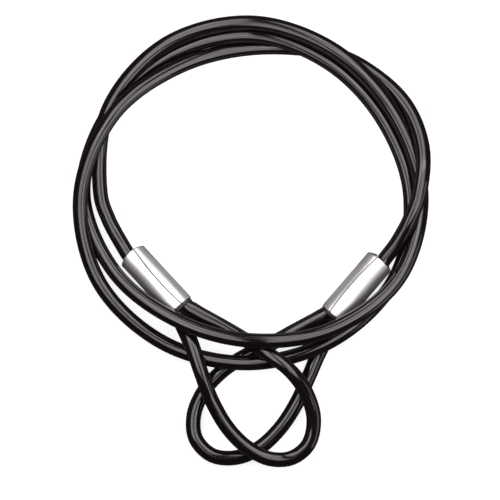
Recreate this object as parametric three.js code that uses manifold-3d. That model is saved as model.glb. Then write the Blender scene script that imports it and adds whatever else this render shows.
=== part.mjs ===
// A coiled security cable of the kind that loops through a bicycle lock: one length of steel wire
// rope in a black vinyl jacket, lying loosely coiled on a flat surface, with an eye turned back
// at each end and held by a pressed aluminium ferrule.
//
// Millimetres. +Z is up and the surface is z = 0. The origin is under the middle of the object, and
// +Y is its longest way, from the two eyes towards the coil.
//
// The rope is described by its centre line, a centripetal Catmull-Rom curve through hand-set points.
// It starts at the cut tail inside the left ferrule, goes round the left eye, back through the
// left ferrule, clockwise round the coil, through the right ferrule, round the right eye and back
// to the cut tail inside the right ferrule.
import * as THREE from 'three';
import { mergeVertices } from 'three/addons/utils/BufferGeometryUtils.js';
import Module from 'manifold-3d';

const wasm = await Module();
wasm.setup();

// ---- driving dimensions ----
const CABLE_RADIUS = 4;
const JACKET_BORE_RADIUS = 3;
const WIRE_RADIUS = 0.72;        // each of the seven strands of the wire rope
const LAY_RADIUS = 1.95;         // from the rope's middle to the middle of an outer strand
const LAY_LENGTH = 260;          // of one full turn of an outer strand
const OUTER_STRANDS = 6;
const FERRULE_RADIUS = 8.15;
const FERRULE_LENGTH = 39;
const FERRULE_EDGE = 0.6;        // radius of its rounded end edges
const BORE_CLEARANCE = 0.3;      // between the jacket and the metal
const PRESS_SWELL = 0.3;         // share of the lost width that the press pushes out up and down
const COIL_CENTRE = [0, 26.4];
const COIL_STEP = 30;            // degrees between the coil's points
const COIL_START = 180;          // bearing of the first, counted anticlockwise from +X

const JACKET_SIDES = 12;
const BORE_SIDES = 7;
const WIRE_SIDES = 5;
const FERRULE_SIDES = 32;
const EDGE_STEPS = 3;
const CUTTER_SIDES = 12;
const COIL_SPAN_STEPS = 2;       // stations from one of the coil's points to the next
const WELD_DISTANCE = 1e-4;      // closer corners than this are one

const HALF = FERRULE_LENGTH / 2;

// ---- how the rope goes through a ferrule ----
// Each row is [along the axis towards the eye, from the axis sideways, the share of its round width
// that the press leaves]. The cut tail ends inside, a little short of the coil's mouth.
const TO_THE_EYE = [[0, 2.75, 0.62], [HALF - 6, 3.05, 0.71], [HALF, 3.7, 0.8], [HALF + 5, 4.3, 1]];
const STANDING_PASS = [
  [-HALF - 3, 1.2, 1], [-HALF, 1.75, 0.95], [-HALF + 5, 2.65, 0.7], ...TO_THE_EYE,
];
const TAIL_PASS = [[-HALF + 5, 3.15, 0.6], [-HALF + 9, 2.9, 0.62], ...TO_THE_EYE];
const TAIL_BORE = [[-HALF - 3, 3.15, 0.6], ...TAIL_PASS];

// ---- where the ferrules lie: +Z of each one's own frame points at its eye ----
const FERRULES = {
  left: { centre: [-52.7, -21.9, 9.6], heading: -47.3, fall: -4, standingSide: -1 },
  right: { centre: [57.6, -25.8, 9.9], heading: 229.4, fall: 5, standingSide: 1 },
};

// ---- the eyes, from the tail's side round to the standing side ----
const LEFT_EYE = [
  [-16, -46.8, 12.8], [-3.5, -54.2, 15], [10, -62.5, 21.2], [21, -71, 22], [30, -83.5, 17.1],
  [34, -98, 13.9], [31, -111.6, 12], [22, -119, 11.4], [10, -119.6, 11.8], [-2.2, -113.6, 12.5],
  [-13, -103, 13.3], [-22, -87.7, 14.8], [-28, -72, 17.9], [-33.3, -56.4, 17.2],
];
const RIGHT_EYE = [
  [22, -50.2, 6.3], [10, -56.5, 5], [-4, -63.2, 4.1], [-16.2, -71.2, 4], [-26.2, -82, 4],
  [-32, -95.5, 4], [-31, -108.5, 4], [-22, -117.7, 4], [-9, -119, 4], [3.3, -114.1, 4],
  [15.3, -103, 4.1], [24.6, -88.8, 4.2], [31.2, -74.5, 4.5], [37, -61.4, 5.2],
];

// ---- between the ferrules and the coil ----
const LEFT_LEAD = [[-71.9, -1, 7.3], [-76, 6.2, 7.3], [-79.3, 13, 8.4]];
const RIGHT_LEAD = [[86.4, 11.4, 17.9], [82.6, 4.2, 15.6], [78.6, -2.4, 13.6]];

// ---- the coil: [distance from its centre, height], one pair each COIL_STEP clockwise ----
const COIL = [
  // first turn
  [83.4, 10.7], [91.4, 12.3], [94.7, 14.2], [93.8, 16.6], [90.6, 18.9], [89.6, 14.3],
  [93.1, 10.4], [93.2, 17.3], [86.4, 22.6], [80.8, 25.8], [80.9, 21.6], [87, 13.4],
  // second turn
  [92.9, 6.6], [90.6, 4], [88.4, 7.7], [86.9, 12.4], [83.3, 12.3], [82.7, 7.2],
  [87.1, 4.6], [91.5, 8.8], [91.9, 15], [93.2, 13], [95.5, 9.2], [97.2, 13.2],
  // last three quarters of a turn
  [94.2, 17.8], [87.6, 19.8], [80.5, 12.6], [80.1, 6], [88.8, 5.3], [97.6, 12],
  [92.1, 20.3],
];
// Points between those: [steps from COIL_START, distance from the centre, height].
const COIL_BETWEEN = [[28.5, 93.6, 7.9], [29.5, 97, 18.3]];

const vector = (list) => new THREE.Vector3(...list);
const radians = THREE.MathUtils.degToRad;
const UP = new THREE.Vector3(0, 0, 1);

// A ferrule's own frame: X across, Y up, Z along its axis towards the eye.
function ferruleFrame({ centre, heading, fall }) {
  const along = new THREE.Vector3(
    Math.cos(radians(heading)) * Math.cos(radians(fall)),
    Math.sin(radians(heading)) * Math.cos(radians(fall)),
    -Math.sin(radians(fall)),
  );
  const across = new THREE.Vector3().crossVectors(UP, along).normalize();
  const up = new THREE.Vector3().crossVectors(along, across);
  return new THREE.Matrix4().makeBasis(across, up, along).setPosition(...centre);
}

// ---- the route: points with the share of its round width that the rope keeps at each ----
function passPoints(ferrule, side, rows) {
  const frame = ferruleFrame(ferrule);
  return rows.map(([along, aside, keep]) => (
    { point: new THREE.Vector3(side * aside, 0, along).applyMatrix4(frame), keep, steps: 1 }));
}

const standingPass = (ferrule) => passPoints(ferrule, ferrule.standingSide, STANDING_PASS);
const tailPass = (ferrule) => passPoints(ferrule, -ferrule.standingSide, TAIL_PASS);

const freePoints = (list) => list.map((p) => ({ point: vector(p), keep: 1, steps: 1 }));

function coilPoints() {
  const rows = [...COIL.map((row, i) => [i, ...row]), ...COIL_BETWEEN].sort((a, b) => a[0] - b[0]);
  return rows.map(([steps, distance, height], i) => {
    const bearing = radians(COIL_START - COIL_STEP * steps);
    const x = COIL_CENTRE[0] + distance * Math.cos(bearing);
    const y = COIL_CENTRE[1] + distance * Math.sin(bearing);
    const spanSteps = rows[i + 1]?.[0] - steps === 1 ? COIL_SPAN_STEPS : 1;
    return { point: new THREE.Vector3(x, y, height), keep: 1, steps: spanSteps };
  });
}

const CONTROLS = [
  ...tailPass(FERRULES.left),
  ...freePoints(LEFT_EYE),
  ...standingPass(FERRULES.left).reverse(),
  ...freePoints(LEFT_LEAD),
  ...coilPoints(),
  ...freePoints(RIGHT_LEAD),
  ...standingPass(FERRULES.right),
  ...freePoints(RIGHT_EYE).reverse(),
  ...tailPass(FERRULES.right).reverse(),
];

// Places along the rope, each with its own frame: X to the left of the way it runs, Y up, Z along.
function ropeStations() {
  const curve = new THREE.CatmullRomCurve3(CONTROLS.map((c) => c.point), false, 'centripetal');
  const spans = CONTROLS.length - 1;
  const stations = [];
  CONTROLS.forEach(({ keep, steps }, i) => {
    const next = CONTROLS[Math.min(i + 1, spans)].keep;
    for (let step = 0; step < (i < spans ? steps : 1); step += 1) {
      const share = step / steps;
      const t = (i + share) / spans;
      stations.push(station(curve.getPoint(t), curve.getTangent(t), keep + (next - keep) * share));
    }
  });
  let travelled = 0;
  stations.forEach((s, i) => {
    travelled += i > 0 ? s.point.distanceTo(stations[i - 1].point) : 0;
    s.travelled = travelled;
  });
  return stations;
}

// The press narrows the rope by keep and pushes part of that out above and below.
function station(point, along, keep) {
  const across = new THREE.Vector3().crossVectors(UP, along).normalize();
  const up = new THREE.Vector3().crossVectors(along, across);
  across.multiplyScalar(keep);
  up.multiplyScalar(1 + PRESS_SWELL * (1 - keep));
  return { point, across, up };
}

// ---- solids ----
function regularOutline(radius, sides) {
  const corner = (i) => 2 * Math.PI * (i / sides);
  return Array.from({ length: sides }, (_, i) => (
    new THREE.Vector2(radius * Math.cos(corner(i)), radius * Math.sin(corner(i)))));
}

// The same with its flats, not its corners, at that radius: for a hole that a round thing fits.
const holeOutline = (radius, sides) => regularOutline(radius / Math.cos(Math.PI / sides), sides);

// Extrudes a shape straight, one unit a step, then lays it along the stations. An extrudePath would
// turn the section freely, and the press squeezes it level with the ground. shift(i) is where the
// shape's middle is in station i's frame.
function laidAlong(shape, stations, shift = () => [0, 0]) {
  const steps = stations.length - 1;
  const geometry = new THREE.ExtrudeGeometry(shape, { depth: steps, steps, bevelEnabled: false });
  const position = geometry.getAttribute('position');
  const place = new THREE.Vector3();
  for (let v = 0; v < position.count; v += 1) {
    const index = Math.round(position.getZ(v));
    const { point, across, up } = stations[index];
    const [x, y] = shift(index);
    place.copy(point)
      .addScaledVector(across, position.getX(v) + x)
      .addScaledVector(up, position.getY(v) + y);
    position.setXYZ(v, place.x, place.y, place.z);
  }
  return geometry;
}

function withMergedCorners(geometry) {
  geometry.deleteAttribute('normal');
  geometry.deleteAttribute('uv');
  return mergeVertices(geometry, WELD_DISTANCE);
}

function toSolid(geometry) {
  const merged = withMergedCorners(geometry);
  return new wasm.Manifold(new wasm.Mesh({
    numProp: 3,
    vertProperties: new Float32Array(merged.getAttribute('position').array),
    triVerts: new Uint32Array(merged.index.array),
  }));
}

function fromSolid(solid) {
  const { vertProperties, triVerts } = solid.getMesh();
  const geometry = new THREE.BufferGeometry();
  geometry.setAttribute('position', new THREE.BufferAttribute(vertProperties, 3));
  geometry.setIndex(new THREE.BufferAttribute(triVerts, 1));
  geometry.computeVertexNormals();
  return geometry;
}

function named(name, geometry, material) {
  const mesh = new THREE.Mesh(geometry, material);
  mesh.name = name;
  return mesh;
}

// ---- the rope: a vinyl jacket, open at both cut ends, round seven strands ----
function jacket(stations) {
  const shape = new THREE.Shape(regularOutline(CABLE_RADIUS, JACKET_SIDES));
  shape.holes.push(new THREE.Path(holeOutline(JACKET_BORE_RADIUS, BORE_SIDES)));
  const vinyl = new THREE.MeshStandardMaterial({ color: 0x0b0b0c, roughness: 0.28, metalness: 0 });
  return named('jacket', withMergedCorners(laidAlong(shape, stations)), vinyl);
}

function strands(stations) {
  const wire = new THREE.MeshStandardMaterial({ color: 0x8c8f92, roughness: 0.4, metalness: 1 });
  const shape = new THREE.Shape(regularOutline(WIRE_RADIUS, WIRE_SIDES));
  const core = named('core_strand', withMergedCorners(laidAlong(shape, stations)), wire);
  const outer = Array.from({ length: OUTER_STRANDS }, (_, k) => {
    const shift = (i) => {
      const turn = 2 * Math.PI * (k / OUTER_STRANDS + stations[i].travelled / LAY_LENGTH);
      return [LAY_RADIUS * Math.cos(turn), LAY_RADIUS * Math.sin(turn)];
    };
    const geometry = withMergedCorners(laidAlong(shape, stations, shift));
    return named(`outer_strand_${k + 1}`, geometry, wire);
  });
  return [core, ...outer];
}

// ---- a ferrule: a round sleeve with rounded ends, pressed onto the two passes of rope ----
function ferruleProfile() {
  const profile = [new THREE.Vector2(0, -HALF)];
  for (const end of [-1, 1]) {
    for (let i = 0; i <= EDGE_STEPS; i += 1) {
      const turn = (Math.PI / 2) * (end < 0 ? i / EDGE_STEPS : 1 - i / EDGE_STEPS);
      profile.push(new THREE.Vector2(
        FERRULE_RADIUS - FERRULE_EDGE * (1 - Math.sin(turn)),
        end * (HALF - FERRULE_EDGE * (1 - Math.cos(turn))),
      ));
    }
  }
  profile.push(new THREE.Vector2(0, HALF));
  return profile;
}

// The space that one pass of rope takes out of the ferrule, a little past both of its ends.
function boreSolid(place, side, rows) {
  const frame = ferruleFrame(place);
  const axis = new THREE.Vector3().setFromMatrixColumn(frame, 2);
  const stations = passPoints(place, side, rows).map(({ point, keep }) => station(point, axis, keep));
  const shape = new THREE.Shape(holeOutline(CABLE_RADIUS + BORE_CLEARANCE, CUTTER_SIDES));
  return toSolid(laidAlong(shape, stations).applyMatrix4(frame.invert()));
}

function ferrule(name, place) {
  const body = new THREE.LatheGeometry(ferruleProfile(), FERRULE_SIDES).rotateX(Math.PI / 2);
  const solid = toSolid(body)
    .subtract(boreSolid(place, place.standingSide, STANDING_PASS))
    .subtract(boreSolid(place, -place.standingSide, TAIL_BORE));
  const aluminium = new THREE.MeshStandardMaterial({
    color: 0xc4c6c8, roughness: 0.35, metalness: 1,
  });
  const mesh = named(name, fromSolid(solid), aluminium);
  mesh.applyMatrix4(ferruleFrame(place));
  return mesh;
}

const cableLock = new THREE.Group();
const rope = ropeStations();
cableLock.add(jacket(rope), ...strands(rope));
cableLock.add(ferrule('ferrule_left', FERRULES.left), ferrule('ferrule_right', FERRULES.right));

export default cableLock;
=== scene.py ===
"""The looks of the coiled security cable: a glossy black vinyl jacket over steel wire rope, with an
eye at each end held by a pressed aluminium ferrule, lying on a pale floor seen from above.

Lengths are in millimetres until mm() turns them into Blender's metres. The cable's route repeats
the CAD model's: listed points joined by a centripetal Catmull-Rom curve.
"""
import math

import bpy
import numpy as np
from mathutils import Matrix, Vector

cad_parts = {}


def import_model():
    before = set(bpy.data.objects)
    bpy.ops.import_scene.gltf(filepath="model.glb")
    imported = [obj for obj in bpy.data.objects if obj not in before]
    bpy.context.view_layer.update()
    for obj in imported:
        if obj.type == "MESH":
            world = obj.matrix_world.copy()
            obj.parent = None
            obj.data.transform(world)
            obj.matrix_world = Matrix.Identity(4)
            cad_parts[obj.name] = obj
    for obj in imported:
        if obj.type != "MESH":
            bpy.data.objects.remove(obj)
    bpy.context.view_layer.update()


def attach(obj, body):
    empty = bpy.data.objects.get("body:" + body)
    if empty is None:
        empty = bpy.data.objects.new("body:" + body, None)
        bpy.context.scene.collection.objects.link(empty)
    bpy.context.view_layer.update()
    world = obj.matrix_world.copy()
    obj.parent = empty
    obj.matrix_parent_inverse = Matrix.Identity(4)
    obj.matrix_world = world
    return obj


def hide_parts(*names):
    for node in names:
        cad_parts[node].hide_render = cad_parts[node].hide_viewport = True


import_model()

MM = 0.001
UP = np.array([0.0, 0.0, 1.0])

# ---- the cable ----
CABLE_RADIUS = 4.1       # 0.1 over the CAD model's, which the outlines in the photograph need
JACKET_BORE_RADIUS = 3.0
CUT_EDGE = 0.25          # rounding of the jacket's cut ends
JACKET_SIDES = 32        # twice BORE_SIDES
BORE_SIDES = 16
RING_GAP = 2.6           # along the cable, between one ring of the jacket and the next

WIRE_RADIUS = 0.72       # of a strand
LAY_RADIUS = 1.95        # from the core's middle to an outer strand's
LAY_LENGTH = 260.0       # of one turn of an outer strand round the core
OUTER_STRANDS = 6
STRAND_SIDES = 8
STRAND_EVERY = 2         # a strand has a ring at every second ring of the jacket

# ---- the ferrules ----
FERRULE_RADIUS = 8.25    # 0.1 over the CAD model's, as the cable
FERRULE_LENGTH = 39.0
FERRULE_EDGE = 0.6       # rounding of the sleeve's ends
PRESS_SWELL = 0.3        # share of the cable's lost width that is pushed out up and down
MOUTH_BULGE = 1.9        # how far the sleeve's end at the coil swells out in its middle
EYE_HOLLOW = 0.5         # how far the end at the eye is drawn in
HALF = FERRULE_LENGTH / 2
# The axis runs from the coil to the eye: its heading and how much it falls are in degrees.
FERRULES = {
    "left": {"centre": (-52.7, -21.9, 9.6), "heading": -47.3, "fall": -4.0, "standing_side": -1},
    "right": {"centre": (57.6, -25.8, 9.9), "heading": 229.4, "fall": 5.0, "standing_side": 1},
}

# Rows of (along the ferrule's axis towards the eye, from the axis sideways, share of the round
# width that the press leaves), as in the CAD model.
TO_THE_EYE = [(0, 2.75, 0.62), (HALF - 6, 3.05, 0.71), (HALF, 3.7, 0.8), (HALF + 5, 4.3, 1)]
STANDING_PASS = [
    (-HALF - 3, 1.2, 1), (-HALF, 1.75, 0.95), (-HALF + 5, 2.65, 0.7), *TO_THE_EYE,
]
TAIL_PASS = [(-HALF + 5, 3.15, 0.6), (-HALF + 9, 2.9, 0.62), *TO_THE_EYE]
TAIL_BORE = [(-HALF - 3, 3.15, 0.6), *TAIL_PASS]

# The press leaves the legs of each eye spread a little flat for the first stretch past the mouth.
FLARE = 0.13                               # share of the width that is added
FLARE_REACH = (-1.5, 1.0, 12.0, 30.0)      # distances past the mouth
FLARE_SHARES = (0.0, 1.0, 1.0, 0.0)        # share of the flare at each
LEG_SHIFTS = {                             # sideways, away from the ferrule's axis
    ("left", "tail"): -0.7, ("left", "standing"): 0.2,
    ("right", "tail"): 0.0, ("right", "standing"): -0.7,
}
# Each leg's ferrule, its pass, and whether the route leaves the mouth along it or comes back.
LEGS = [
    ("left", "tail", 1), ("left", "standing", -1),
    ("right", "standing", 1), ("right", "tail", -1),
]

# ---- the eyes, from the tail's side round to the standing side ----
LEFT_EYE = [
    (-16, -46.8, 12.8), (-3.5, -54.2, 15), (10, -62.5, 21.2), (21, -71, 22), (30, -83.5, 17.1),
    (34, -98, 13.9), (31, -111.6, 12), (22, -119, 11.4), (10, -119.6, 11.8), (-2.2, -113.6, 12.5),
    (-13, -103, 13.3), (-22, -87.7, 14.8), (-28, -72, 17.9), (-33.3, -56.4, 17.2),
]
RIGHT_EYE = [
    (22, -50.2, 6.3), (10, -56.5, 5), (-4, -63.2, 4.1), (-16.2, -71.2, 4), (-26.2, -82, 4),
    (-32, -95.5, 4), (-31, -108.5, 4), (-22, -117.7, 4), (-9, -119, 4), (3.3, -114.1, 4),
    (15.3, -103, 4.1), (24.6, -88.8, 4.2), (31.2, -74.5, 4.5), (37, -61.4, 5.2),
]

# ---- between the ferrules and the coil ----
LEFT_LEAD = [(-71.9, -1, 7.3), (-76, 6.2, 7.3), (-79.3, 13, 8.4)]
RIGHT_LEAD = [(86.4, 11.4, 17.9), (82.6, 4.2, 15.6), (78.6, -2.4, 13.6)]

# ---- the coil: (distance from its centre, height), one pair each COIL_STEP clockwise ----
COIL_CENTRE = (0.0, 26.4)
COIL_STEP = 30.0
COIL_START = 180.0
COIL = [
    # first turn
    (83.4, 10.7), (91.4, 12.3), (94.7, 14.2), (93.8, 16.6), (90.6, 18.9), (89.6, 14.3),
    (93.1, 10.4), (93.2, 17.3), (86.4, 22.6), (80.8, 25.8), (80.9, 21.6), (87, 13.4),
    # second turn
    (92.9, 6.6), (90.6, 4), (88.4, 7.7), (86.9, 12.4), (83.3, 12.3), (82.7, 7.2),
    (87.1, 4.6), (91.5, 8.8), (91.9, 15), (93.2, 13), (95.5, 9.2), (97.2, 13.2),
    # last three quarters of a turn
    (94.2, 17.8), (87.6, 19.8), (80.5, 12.6), (80.1, 6), (88.8, 5.3), (97.6, 12),
    (92.1, 20.3),
]
# Points between those: (steps from COIL_START, distance from the centre, height).
COIL_BETWEEN = [(28.5, 93.6, 7.9), (29.5, 97, 18.3)]

# ---- the camera looks straight down on the middle of what it frames ----
VIEW_MIDDLE = (-1.1, -4.7)
VIEW_WIDTH = 275.0       # how much the picture is wide, at SHARP_HEIGHT
CAMERA_HEIGHT = 8000.0
SENSOR_WIDTH = 36.0
SHARP_HEIGHT = 12.0      # above the floor, about half as high as the coil


def mm(points):
    """Millimetres to metres."""
    return np.asarray(points, float) * MM


def unit(v):
    return v / np.linalg.norm(v)


# ================================ the route ================================

def ferrule_frame(place):
    """A ferrule's centre and its own axes: across, up, and along towards its eye."""
    heading, fall = math.radians(place["heading"]), math.radians(place["fall"])
    along = np.array([
        math.cos(heading) * math.cos(fall), math.sin(heading) * math.cos(fall), -math.sin(fall),
    ])
    across = unit(np.cross(UP, along))
    return np.array(place["centre"]), across, np.cross(along, across), along


def pass_points(place, side, rows):
    """Points of a pass of cable on that side (1 or -1) of the ferrule, with the shares kept."""
    centre, across, _, along = ferrule_frame(place)
    return [(centre + along * a + across * (side * aside), keep) for a, aside, keep in rows]


def standing_pass(place):
    return pass_points(place, place["standing_side"], STANDING_PASS)


def tail_pass(place):
    return pass_points(place, -place["standing_side"], TAIL_PASS)


def free_points(points):
    return [(np.array(p, float), 1.0) for p in points]


def coil_points():
    """The coil's points in the order that the route meets them."""
    found = []
    rows = sorted([(i, *point) for i, point in enumerate(COIL)] + COIL_BETWEEN)
    for steps, distance, height in rows:
        bearing = math.radians(COIL_START - COIL_STEP * steps)
        x = COIL_CENTRE[0] + distance * math.cos(bearing)
        y = COIL_CENTRE[1] + distance * math.sin(bearing)
        found.append((np.array([x, y, height]), 1.0))
    return found


def controls():
    """The route's points, each with the share of its round width that the cable keeps there."""
    left, right = FERRULES["left"], FERRULES["right"]
    return [
        *tail_pass(left),
        *free_points(LEFT_EYE),
        *reversed(standing_pass(left)),
        *free_points(LEFT_LEAD),
        *coil_points(),
        *free_points(RIGHT_LEAD),
        *standing_pass(right),
        *reversed(free_points(RIGHT_EYE)),
        *reversed(tail_pass(right)),
    ]


def span_at(p0, p1, p2, p3, w):
    """A point of the centripetal Catmull-Rom span from p1 to p2, at w from 0 to 1."""
    d0, d1, d2 = (math.sqrt(np.linalg.norm(b - a)) for a, b in ((p0, p1), (p1, p2), (p2, p3)))
    start = ((p1 - p0) / d0 - (p2 - p0) / (d0 + d1) + (p2 - p1) / d1) * d1
    end = ((p2 - p1) / d1 - (p3 - p1) / (d1 + d2) + (p3 - p2) / d2) * d1
    bend = 3 * (p2 - p1) - 2 * start - end
    turn = 2 * (p1 - p2) + start + end
    return p1 + start * w + bend * w ** 2 + turn * w ** 3


def smooth(w):
    return w * w * (3 - 2 * w)


def way_along(line):
    """How far each of the line's points is from its start, along it."""
    return np.concatenate([[0], np.cumsum(np.linalg.norm(np.diff(line, axis=0), axis=1))])


def flared(line, kept):
    """The line and the shares kept, with the legs of the eyes spread flat beside the ferrules."""
    travelled = way_along(line)
    moved, spread = line.copy(), kept.copy()
    at_mouth = [row for row in TO_THE_EYE if row[0] == HALF]
    for name, leg, onward in LEGS:
        place = FERRULES[name]
        side = place["standing_side"] * (1 if leg == "standing" else -1)
        mouth = pass_points(place, side, at_mouth)[0][0]
        nearest = np.argmin(np.linalg.norm(line - mouth, axis=1))
        past = (travelled - travelled[nearest]) * onward
        share = np.interp(past, FLARE_REACH, FLARE_SHARES)
        across = ferrule_frame(place)[1]
        moved += np.outer(share * side * LEG_SHIFTS[name, leg], across)
        spread *= 1 + FLARE * share
    return moved, spread


def cable_rings():
    """Ring centres along the cable, with each ring's direction, half-axes and way travelled."""
    marks = controls()
    points = [p for p, _ in marks]
    ends = [2 * points[0] - points[1]] + points + [2 * points[-1] - points[-2]]
    line, kept = [], []
    for i in range(len(points) - 1):
        p0, p1, p2, p3 = ends[i:i + 4]
        keep, keep_next = marks[i][1], marks[i + 1][1]
        steps = max(2, round(np.linalg.norm(p2 - p1) / RING_GAP))
        for step in range(steps):
            w = step / steps
            line.append(span_at(p0, p1, p2, p3, w))
            kept.append(keep + (keep_next - keep) * smooth(w))
    line.append(points[-1])
    kept.append(marks[-1][1])
    line, kept = flared(np.array(line), np.array(kept))
    along = np.gradient(line, axis=0)
    along /= np.linalg.norm(along, axis=1)[:, None]
    across = np.cross(UP, along)
    across /= np.linalg.norm(across, axis=1)[:, None]
    up = np.cross(along, across)
    return {
        "line": line,
        "along": along,
        "across": across * kept[:, None],
        "up": up * (1 + PRESS_SWELL * (1 - kept))[:, None],
        "travelled": way_along(line),
    }


# ================================ meshes ================================

def new_mesh(name, vertices, faces, smooth_faces=True):
    """An object of those vertices, in millimetres."""
    mesh = bpy.data.meshes.new(name)
    mesh.from_pydata([tuple(v) for v in mm(vertices)], [], faces)
    mesh.polygons.foreach_set("use_smooth", [smooth_faces] * len(mesh.polygons))
    mesh.validate()
    mesh.update()
    made = bpy.data.objects.new(name, mesh)
    bpy.context.scene.collection.objects.link(made)
    return made


def circle(radius, sides):
    """The (x, y) corners of a polygon with that many sides."""
    turn = 2 * math.pi * np.arange(sides) / sides
    return np.stack([radius * np.cos(turn), radius * np.sin(turn)], 1)


def swept(rings, outline, pick, shift=None):
    """Vertices of an outline carried along the picked rings, ring after ring."""
    found = []
    for i in pick:
        dx, dy = shift(i) if shift else (0.0, 0.0)
        found.append(
            rings["line"][i]
            + np.outer(outline[:, 0] + dx, rings["across"][i])
            + np.outer(outline[:, 1] + dy, rings["up"][i])
        )
    return np.concatenate(found)


def tube_faces(count, sides, first=0, inward=False):
    """Quads between one ring and the next of a tube with that many rings."""
    faces = []
    for ring in range(count - 1):
        a, b = first + ring * sides, first + (ring + 1) * sides
        for k in range(sides):
            n = (k + 1) % sides
            face = (a + k, a + n, b + n, b + k)
            faces.append(face[::-1] if inward else face)
    return faces


def end_faces(count, sides, first=0):
    """The two faces that close a tube's ends."""
    last = first + (count - 1) * sides
    return [tuple(first + k for k in range(sides))[::-1], tuple(last + k for k in range(sides))]


# ================================ the cable ================================

def jacket(rings):
    """The vinyl jacket: a hollow tube with slightly rounded cut ends."""
    count = len(rings["line"])
    radius = np.full(count, CABLE_RADIUS)
    radius[[0, -1]] -= CUT_EDGE
    outer = np.concatenate([
        swept(rings, circle(radius[i], JACKET_SIDES), [i]) for i in range(count)
    ])
    inner = swept(rings, circle(JACKET_BORE_RADIUS, BORE_SIDES), range(count))
    bore = len(outer)
    faces = tube_faces(count, JACKET_SIDES) + tube_faces(count, BORE_SIDES, bore, inward=True)
    for ring, far in ((0, False), (count - 1, True)):
        out, into = ring * JACKET_SIDES, bore + ring * BORE_SIDES
        for k in range(BORE_SIDES):
            n = (k + 1) % BORE_SIDES
            a, b, c = out + 2 * k, out + 2 * k + 1, out + (2 * k + 2) % JACKET_SIDES
            for face in ((into + k, b, a), (into + k, into + n, b), (into + n, c, b)):
                faces.append(face[::-1] if far else face)
    made = new_mesh("vinyl_jacket", np.concatenate([outer, inner]), faces)
    add_lengthwise(made, rings)
    return made


def add_lengthwise(piece, rings):
    """Gives each of the jacket's vertices its place on the straightened cable, in millimetres."""
    values = []
    for sides, radius in ((JACKET_SIDES, CABLE_RADIUS), (BORE_SIDES, JACKET_BORE_RADIUS)):
        around = np.tile(circle(radius, sides), (len(rings["line"]), 1))
        values.append(np.column_stack([around, np.repeat(rings["travelled"], sides)]))
    layer = piece.data.attributes.new("lengthwise", "FLOAT_VECTOR", "POINT")
    layer.data.foreach_set("vector", np.concatenate(values).astype(np.float32).ravel())


def lay_at(rings, number, i):
    """Where in the cable an outer strand lies at ring i."""
    turn = 2 * math.pi * (number / OUTER_STRANDS + rings["travelled"][i] / LAY_LENGTH)
    return LAY_RADIUS * math.cos(turn), LAY_RADIUS * math.sin(turn)


def strand(name, rings, number=None):
    """One strand of the wire rope: the core, or the outer one of that number."""
    count = len(rings["line"])
    pick = sorted(set(range(0, count, STRAND_EVERY)) | {count - 1})
    shift = None if number is None else lambda i: lay_at(rings, number, i)
    vertices = swept(rings, circle(WIRE_RADIUS, STRAND_SIDES), pick, shift)
    faces = tube_faces(len(pick), STRAND_SIDES) + end_faces(len(pick), STRAND_SIDES)
    return new_mesh(name, vertices, faces)


# ================================ the ferrules ================================

# The press's two jaws leave a fine crease along the ferrule's top and underside. Its distances
# sideways from the axis are those at the coil's mouth, the middle and the eye's mouth.
CREASES = {"left": (2.8, 1.2, 2.1), "right": (-2.7, -4.0, -2.9)}
CREASE_DEPTH = 0.24
CREASE_WIDTH = 0.20
PAINTED_SHADE_WIDTH = 0.42       # half the width of the painted shade that darkens the crease line
CREASE_REACH = math.radians(32)    # each side of the top, where the sleeve's mesh is fine
FINE_TURN = math.radians(0.7)      # between one corner and the next, there
PLAIN_TURN = math.radians(4)       # and elsewhere
FERRULE_STEPS = 26
EDGE_STEPS = 6
SHARP_EDGE = math.radians(40)      # steeper edges are shaded as corners

PRESS_WAVES = 0.05       # how uneven the pressed surface is
WAVES_TWIST = 0.13       # radians that the waves turn for each millimetre along
WAVES_FADE = 1.2         # length over which they die out at either end

BORE_FIT = 0.08          # between the cable and its bore
BORE_CUT_SIDES = 64
BORE_CUT_PAST = 5        # how far the cutter starts before the sleeve


def crease_at(name, along):
    """How far round the ferrule from its top the crease lies, in radians."""
    mouth, middle, eye = CREASES[name]
    share = (along + HALF) / FERRULE_LENGTH
    bow = 4 * share * (1 - share) * (middle - (mouth + eye) / 2)
    return math.asin((mouth + (eye - mouth) * share + bow) / FERRULE_RADIUS)


def sleeve_turns():
    """The angles of the sleeve's corners, close together over its top and underside."""
    half = []
    for low, high, step in (
        (-math.pi / 2, -CREASE_REACH, PLAIN_TURN),
        (-CREASE_REACH, CREASE_REACH, FINE_TURN),
        (CREASE_REACH, math.pi / 2, PLAIN_TURN),
    ):
        count = round((high - low) / step)
        half += [low + (high - low) * i / count for i in range(count)]
    return np.array([math.pi / 2 + t for t in half] + [3 * math.pi / 2 + t for t in half])


def end_shift(along):
    """How far the press has moved the middle of the ring at along, towards the eye."""
    share = (along + HALF) / FERRULE_LENGTH
    return -MOUTH_BULGE * (1 - share) ** 3 - EYE_HOLLOW * share ** 3


def ferrule_rings():
    """(distance along the axis, radius) of the sleeve's rings, with rounded ends."""
    edge = []
    for step in range(EDGE_STEPS + 1):
        turn = math.pi / 2 * step / EDGE_STEPS
        edge.append((FERRULE_EDGE * (1 - math.sin(turn)), FERRULE_EDGE * (1 - math.cos(turn))))
    start = [(-HALF + inset, FERRULE_RADIUS - drop) for drop, inset in edge]
    body = [(a, FERRULE_RADIUS) for a in np.linspace(-HALF, HALF, FERRULE_STEPS)[1:-1]]
    return start + body + [(-a, r) for a, r in reversed(start)]


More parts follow.
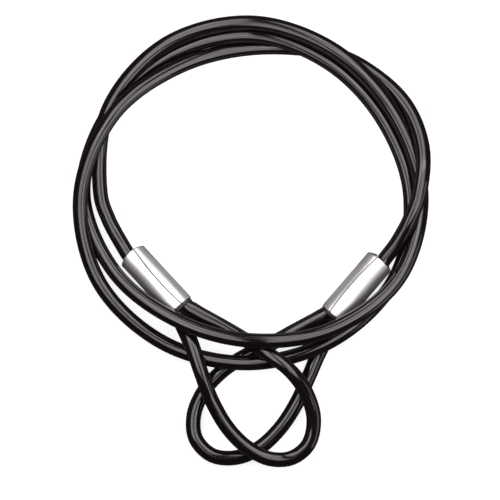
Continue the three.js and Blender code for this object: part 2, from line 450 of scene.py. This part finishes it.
def ferrule_body(name):
    """The sleeve before its bores: round, slightly uneven, with a crease on two sides."""
    turns = sleeve_turns()
    sides = len(turns)
    rows = []
    for along, radius in ferrule_rings():
        fade = min(1.0, (HALF - abs(along)) / WAVES_FADE)
        grown = radius + PRESS_WAVES * fade * np.sin(2 * turns + WAVES_TWIST * along)
        for top, sign in ((math.pi / 2, -1), (3 * math.pi / 2, 1)):
            off = (turns - top - sign * crease_at(name, along)) * FERRULE_RADIUS
            grown = grown - CREASE_DEPTH * np.exp(-(off / CREASE_WIDTH) ** 2)
        rows.append(np.stack([
            grown * np.cos(turns), grown * np.sin(turns),
            along + np.sin(turns) ** 2 * end_shift(along),
        ], 1))
    faces = tube_faces(len(rows), sides) + end_faces(len(rows), sides)
    return new_mesh("ferrule_body", np.concatenate(rows), faces)


def bore_cutter(side, rows):
    """The space that a pass of cable takes out of the sleeve, in the ferrule's own frame."""
    rows = [(rows[0][0] - BORE_CUT_PAST, *rows[0][1:]), *rows]
    outline = circle(CABLE_RADIUS + BORE_FIT, BORE_CUT_SIDES)
    vertices = np.concatenate([
        np.column_stack([
            outline[:, 0] * keep + side * aside,
            outline[:, 1] * (1 + PRESS_SWELL * (1 - keep)),
            np.full(len(outline), along),
        ])
        for along, aside, keep in rows
    ])
    faces = tube_faces(len(rows), BORE_CUT_SIDES) + end_faces(len(rows), BORE_CUT_SIDES)
    return new_mesh("bore_cutter", vertices, faces)


def cut(body, cutters):
    """Takes the cutters out of the body and leaves one plain mesh."""
    for cutter in cutters:
        step = body.modifiers.new("cut", "BOOLEAN")
        step.operation = "DIFFERENCE"
        step.solver = "EXACT"
        step.object = cutter
    bpy.context.view_layer.update()
    shown = body.evaluated_get(bpy.context.evaluated_depsgraph_get())
    mesh = bpy.data.meshes.new_from_object(shown)
    for cutter in cutters:
        bpy.data.objects.remove(cutter)
    bpy.data.objects.remove(body)
    return mesh


def place_matrix(place):
    """What puts a mesh made in the ferrule's own frame in its place."""
    centre, across, up, along = ferrule_frame(place)
    rows = np.column_stack([across, up, along, centre * MM])
    return Matrix([*rows.tolist(), [0, 0, 0, 1]])


def ferrule(name):
    """The finished sleeve in its place, with both its bores."""
    place = FERRULES[name]
    side = place["standing_side"]
    mesh = cut(ferrule_body(name), [
        bore_cutter(side, STANDING_PASS), bore_cutter(-side, TAIL_BORE),
    ])
    made = bpy.data.objects.new(f"pressed_ferrule_{name}", mesh)
    bpy.context.scene.collection.objects.link(made)
    made.matrix_world = place_matrix(place)
    mesh.polygons.foreach_set("use_smooth", [True] * len(mesh.polygons))
    mesh.set_sharp_from_angle(angle=SHARP_EDGE)
    # painted shade along the crease line, kept as a share on each vertex
    add_painted_crease_shade(mesh, name)
    return made


def add_painted_crease_shade(mesh, name):
    """Gives every vertex near a crease its share of the painted shade that darkens the crease line,
    from 0 to 1.
    """
    places = np.empty(3 * len(mesh.vertices), np.float32)
    mesh.vertices.foreach_get("co", places)
    x, y, along = places.reshape(-1, 3).T / MM
    turned = np.array([crease_at(name, a) for a in np.clip(along, -HALF, HALF)])
    off = (np.arctan2(x, np.abs(y)) - turned) * FERRULE_RADIUS
    outside = np.hypot(x, y) > FERRULE_RADIUS - 2 * CREASE_DEPTH
    shares = np.exp(-(off / PAINTED_SHADE_WIDTH) ** 2) * outside
    layer = mesh.attributes.new("painted_crease_shade", "FLOAT", "POINT")
    layer.data.foreach_set("value", shares.astype(np.float32))


# The vinyl that the press has squeezed out at the eye's mouth: (past the mouth, size) of its rings.
LIP_PROFILE = [
    (-0.6, 0.88), (-0.1, 0.95), (0.25, 1.0), (0.55, 0.99), (0.8, 0.93), (1.05, 0.95), (1.35, 0.98),
    (1.65, 0.95), (1.9, 0.86), (2.0, 0.74),
]
LIP_SIDES = 96
LIP_HALF_WIDTH = 7.8
LIP_HALF_HEIGHT = 5.3
LIP_SQUARENESS = 3       # how soon the outline is at its full height beside the middle
LIP_WAVES = 0.025        # share of the size by which it is uneven
LIP_WANDER = 0.2         # how far a ring wavers along the axis


def squeezed_lip(name):
    """A thin uneven collar of vinyl round both legs of the eye, where they leave the ferrule."""
    turns = 2 * math.pi * np.arange(LIP_SIDES) / LIP_SIDES
    flat = LIP_HALF_WIDTH - LIP_HALF_HEIGHT
    outline = np.stack([
        LIP_HALF_HEIGHT * np.cos(turns) + flat * np.tanh(LIP_SQUARENESS * np.cos(turns)),
        LIP_HALF_HEIGHT * np.sin(turns),
    ], 1)
    rows = []
    for n, (past, size) in enumerate(LIP_PROFILE):
        uneven = 1 + LIP_WAVES * np.sin(5 * turns + n) * np.sin(2 * turns + 1.7 * n)
        wander = LIP_WANDER * np.sin(3 * turns + n)
        along = HALF + past + wander - EYE_HOLLOW * np.sin(turns) ** 2
        rows.append(np.column_stack([outline * (size * uneven)[:, None], along]))
    faces = tube_faces(len(rows), LIP_SIDES) + end_faces(len(rows), LIP_SIDES)
    made = new_mesh(f"squeezed_lip_{name}", np.concatenate(rows), faces)
    made.matrix_world = place_matrix(FERRULES[name])
    return made


WIRE_END_RADIUS = 0.225
WIRE_END_SIDES = 10
WIRE_END_RING = 2.1 * WIRE_END_RADIUS      # from a strand's middle to its outer wires'
# (past the cut, size) of a wire's rings
WIRE_END_PROFILE = [(-0.9, 1), (0.07, 1), (0.12, 0.8)]


def cut_wires(name, rings, end):
    """The seven wires that show in each strand where the cable is cut."""
    line, along, across, up = (rings[key][end] for key in ("line", "along", "across", "up"))
    at_start = end == 0
    outward = -1 if at_start else 1
    strands = [(0.0, 0.0)] + [lay_at(rings, number, end) for number in range(OUTER_STRANDS)]
    wires = [(0.0, 0.0), *circle(WIRE_END_RING, 6)]
    outline = circle(WIRE_END_RADIUS, WIRE_END_SIDES)
    count = len(WIRE_END_PROFILE)
    vertices, faces = [], []
    for sx, sy in strands:
        for wx, wy in wires:
            first = len(vertices)
            for past, size in WIRE_END_PROFILE:
                middle = line + along * outward * past
                for x, y in outline * size + (sx + wx, sy + wy):
                    vertices.append(middle + across * x + up * y)
            ends = end_faces(count, WIRE_END_SIDES, first)
            faces += tube_faces(count, WIRE_END_SIDES, first, inward=at_start)
            faces += [face[::-1] for face in ends] if at_start else ends
    return new_mesh(f"cut_wires_{name}", np.array(vertices), faces)


# ================================ materials ================================

def new_material(name):
    material = bpy.data.materials.new(name)
    material.use_nodes = True
    tree = material.node_tree
    return material, tree, tree.nodes["Principled BSDF"]


def noise_of(tree, coordinates, scale, detail=3.0, size=1.0):
    """A noise texture over coordinates stretched by scale."""
    stretch = tree.nodes.new("ShaderNodeMapping")
    stretch.inputs["Scale"].default_value = scale
    tree.links.new(coordinates, stretch.inputs["Vector"])
    noise = tree.nodes.new("ShaderNodeTexNoise")
    noise.inputs["Scale"].default_value = size
    noise.inputs["Detail"].default_value = detail
    tree.links.new(stretch.outputs["Vector"], noise.inputs["Vector"])
    return noise.outputs["Fac"]


def ranged(tree, value, low, high, start=0.3, end=0.7):
    """value's start to end turned into low to high."""
    spread = tree.nodes.new("ShaderNodeMapRange")
    spread.inputs["From Min"].default_value = start
    spread.inputs["From Max"].default_value = end
    spread.inputs["To Min"].default_value = low
    spread.inputs["To Max"].default_value = high
    tree.links.new(value, spread.inputs["Value"])
    return spread.outputs["Result"]


def coloured(tree, value, dark, light, start=0.3, end=0.7):
    """value's start to end turned into the colours dark to light."""
    ramp = tree.nodes.new("ShaderNodeValToRGB")
    ramp.color_ramp.elements[0].position = start
    ramp.color_ramp.elements[0].color = (*dark, 1)
    ramp.color_ramp.elements[1].position = end
    ramp.color_ramp.elements[1].color = (*light, 1)
    tree.links.new(value, ramp.inputs["Fac"])
    return ramp.outputs["Color"]


def bumped(tree, height, strength, distance, under=None):
    """The normal of a surface with that height map, over the normal under."""
    bump = tree.nodes.new("ShaderNodeBump")
    bump.inputs["Strength"].default_value = strength
    bump.inputs["Distance"].default_value = distance
    tree.links.new(height, bump.inputs["Height"])
    if under is not None:
        tree.links.new(under, bump.inputs["Normal"])
    return bump.outputs["Normal"]


def vinyl_material(lengthwise=True):
    """Smooth black vinyl with the faint lengthwise lines that the die leaves."""
    name = "black_vinyl" if lengthwise else "black_vinyl_squeezed"
    material, tree, shader = new_material(name)
    texture = tree.nodes.new("ShaderNodeTexCoord")
    grain = noise_of(tree, texture.outputs["Object"], (1, 1, 1), detail=4, size=900)
    if lengthwise:
        place = tree.nodes.new("ShaderNodeAttribute")
        place.attribute_name = "lengthwise"
        lines = noise_of(tree, place.outputs["Vector"], (1.3, 1.3, 0.012), detail=4)
        patches = noise_of(tree, place.outputs["Vector"], (0.25, 0.25, 0.03), detail=2)
    else:
        lines = noise_of(tree, texture.outputs["Object"], (300, 300, 300), detail=3)
        patches = lines
    normal = bumped(tree, lines, 0.55 if lengthwise else 0.8, 0.0001)
    normal = bumped(tree, grain, 0.04, 0.0001, normal)
    tree.links.new(normal, shader.inputs["Normal"])
    smoothest, roughest = (0.05, 0.13) if lengthwise else (0.3, 0.5)
    tree.links.new(ranged(tree, patches, smoothest, roughest), shader.inputs["Roughness"])
    colour = coloured(tree, patches, (0.0036, 0.0022, 0.0021), (0.0056, 0.0036, 0.0035))
    tree.links.new(colour, shader.inputs["Base Color"])
    shader.inputs["IOR"].default_value = 1.52
    return material


def aluminium_material():
    """Satin aluminium drawn by the press: fine lengthwise scratches, a few dull patches, painted
    crease shade.
    """
    material, tree, shader = new_material("pressed_aluminium")
    texture = tree.nodes.new("ShaderNodeTexCoord")
    own = texture.outputs["Object"]
    scratches = noise_of(tree, own, (2600, 2600, 60), detail=5)
    lines = noise_of(tree, own, (900, 900, 9), detail=3)
    patches = noise_of(tree, own, (190, 190, 70), detail=4)
    shader.inputs["Metallic"].default_value = 1.0
    colour = coloured(tree, patches, (0.58, 0.575, 0.57), (0.76, 0.755, 0.75))
    # painted shade: the share on each vertex darkens the base colour along the crease, standing in
    # for the crease's shadow
    painted_crease_shade = tree.nodes.new("ShaderNodeAttribute")
    painted_crease_shade.attribute_name = "painted_crease_shade"
    shaded_colour = tree.nodes.new("ShaderNodeMixRGB")
    shaded_colour.inputs["Color2"].default_value = (0.07, 0.06, 0.05, 1)
    tree.links.new(painted_crease_shade.outputs["Fac"], shaded_colour.inputs["Fac"])
    tree.links.new(colour, shaded_colour.inputs["Color1"])
    tree.links.new(shaded_colour.outputs["Color"], shader.inputs["Base Color"])
    tree.links.new(ranged(tree, patches, 0.52, 0.40), shader.inputs["Roughness"])
    normal = bumped(tree, lines, 0.30, 0.0001)
    normal = bumped(tree, scratches, 0.16, 0.00006, normal)
    tree.links.new(normal, shader.inputs["Normal"])
    return material


def wire_material():
    """Bright galvanised steel wire."""
    material, tree, shader = new_material("galvanised_wire")
    texture = tree.nodes.new("ShaderNodeTexCoord")
    patches = noise_of(tree, texture.outputs["Object"], (1, 1, 1), detail=3, size=1500)
    shader.inputs["Metallic"].default_value = 1.0
    colour = coloured(tree, patches, (0.34, 0.35, 0.36), (0.62, 0.63, 0.64))
    tree.links.new(colour, shader.inputs["Base Color"])
    tree.links.new(ranged(tree, patches, 0.30, 0.48), shader.inputs["Roughness"])
    return material


def floor_material():
    """Plain pale floor, bright enough to read as a white backdrop."""
    material, _, shader = new_material("pale_floor")
    shader.inputs["Base Color"].default_value = (0.30, 0.30, 0.30, 1)
    shader.inputs["Roughness"].default_value = 0.9
    shader.inputs["Specular IOR Level"].default_value = 0.1
    shader.inputs["Emission Color"].default_value = (1, 1, 1, 1)
    shader.inputs["Emission Strength"].default_value = 0.82
    return material


def paint(piece, material):
    piece.data.materials.clear()
    piece.data.materials.append(material)


# ================================ stage ================================

def sheet(name, centre, half, height, material):
    """A square level sheet of the stage."""
    x, y = centre
    signs = [(-1, -1), (1, -1), (1, 1), (-1, 1)]
    corners = np.array([(x + i * half, y + j * half, height) for i, j in signs])
    made = new_mesh(name, corners, [(0, 1, 2, 3)], smooth_faces=False)
    paint(made, material)
    return made


def reflected(name, centre, half, height, brightness):
    """A sheet that is seen in reflections only."""
    material, _, shader = new_material(name)
    shader.inputs["Base Color"].default_value = (0, 0, 0, 1)
    shader.inputs["Specular IOR Level"].default_value = 0.0
    shader.inputs["Emission Color"].default_value = (1, 1, 1, 1)
    shader.inputs["Emission Strength"].default_value = brightness
    made = sheet(name, centre, half, height, material)
    made.visible_camera = made.visible_diffuse = made.visible_shadow = False


def floor():
    """The pale floor, and two dimmer sheets that take its place in the reflections."""
    sheet("floor", (0, 0), 6000.0, 0.0, floor_material()).visible_glossy = False
    reflected("reflected_floor", (0, 0), half=400.0, height=-0.5, brightness=0.05)
    reflected("reflected_middle", (0, 22), half=47.0, height=-0.4, brightness=0.36)


# Lights are in metres.
LIGHT_COLOUR = (1.0, 0.955, 0.965)
OVERHEAD_HEIGHT = 0.30
OVERHEAD_NEAR, OVERHEAD_FAR = -0.17, 0.62
OVERHEADS = [("left", -0.26, -0.03), ("right", 0.03, 0.30)]    # from this x to that
OVERHEAD_RADIANCE = 3.35
TUBE_WIDTH = 0.035
TUBE_RADIANCE = 2.6
TUBE_DROP, CROSS_TUBE_DROP = 0.004, 0.006                      # below the softboxes


def softbox(name, place, aim, size, radiance):
    """A rectangular light of that radiance at place, turned towards aim."""
    light = bpy.data.lights.new(name, "AREA")
    light.shape = "RECTANGLE"
    light.size, light.size_y = size
    light.energy = radiance * math.pi * size[0] * size[1]
    light.color = LIGHT_COLOUR
    made = bpy.data.objects.new(name, light)
    bpy.context.scene.collection.objects.link(made)
    made.location = place
    way = Vector(aim) - Vector(place)
    made.rotation_mode = "QUATERNION"
    made.rotation_quaternion = way.to_track_quat("-Z", "Y")
    made.visible_camera = False


def lights():
    """Two softboxes with the camera's dark line between them, brighter tubes just below them, and
    a low panel on the right."""
    middle, depth = (OVERHEAD_FAR + OVERHEAD_NEAR) / 2, OVERHEAD_FAR - OVERHEAD_NEAR
    for name, low, high in OVERHEADS:
        across = (low + high) / 2
        place, aim = (across, middle, OVERHEAD_HEIGHT), (across, middle, 0.0)
        softbox(f"overhead_{name}", place, aim, (high - low, depth), OVERHEAD_RADIANCE)
        tube = (across, middle, OVERHEAD_HEIGHT - TUBE_DROP)
        softbox(f"tube_{name}", tube, aim, (TUBE_WIDTH, depth), TUBE_RADIANCE)
    cross = (0.02, 0.10, OVERHEAD_HEIGHT - CROSS_TUBE_DROP)
    softbox("cross_tube", cross, aim=(0.02, 0.10, 0.0), size=(0.56, 0.03), radiance=2.4)
    softbox("low_right", (0.70, -0.30, 0.22), aim=(0.0, 0.0, 0.02), size=(0.60, 0.36), radiance=1.4)


def world():
    """Dim surroundings for the reflections."""
    made = bpy.data.worlds.new("studio")
    bpy.context.scene.world = made
    made.use_nodes = True
    tree = made.node_tree
    around = tree.nodes["Background"]
    around.inputs["Color"].default_value = (1, 1, 1, 1)
    around.inputs["Strength"].default_value = 0.03


def camera():
    """The camera looks straight down from so high up that it sees hardly any perspective."""
    made = bpy.data.objects.new("camera", bpy.data.cameras.new("camera"))
    bpy.context.scene.collection.objects.link(made)
    made.data.sensor_width = SENSOR_WIDTH
    made.data.lens = SENSOR_WIDTH * (CAMERA_HEIGHT - SHARP_HEIGHT) / VIEW_WIDTH
    made.data.clip_end = 100.0
    made.location = mm((*VIEW_MIDDLE, CAMERA_HEIGHT))
    bpy.context.scene.camera = made


# ================================ the scene ================================

def dress(piece, material):
    """Paints the piece, and fixes it to the one body."""
    paint(piece, material)
    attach(piece, "root")
    return piece


def main():
    camera()
    rings = cable_rings()
    vinyl, wire, aluminium = vinyl_material(), wire_material(), aluminium_material()
    cable = dress(jacket(rings), vinyl)
    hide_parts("jacket")
    inside = [dress(strand("wire_strand_core", rings), wire)]
    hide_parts("core_strand")
    for number in range(OUTER_STRANDS):
        piece = strand(f"wire_strand_{number + 1}", rings, number)
        inside.append(dress(piece, wire))
        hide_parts(f"outer_strand_{number + 1}")
    squeezed = vinyl_material(lengthwise=False)
    for name, end in (("left", 0), ("right", -1)):
        sleeve = dress(ferrule(name), aluminium)
        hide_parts(f"ferrule_{name}")
        dress(squeezed_lip(name), squeezed)
        dress(cut_wires(name, rings, end), wire)
    floor()
    lights()
    world()
    bpy.context.scene.view_settings.view_transform = "Standard"


main()
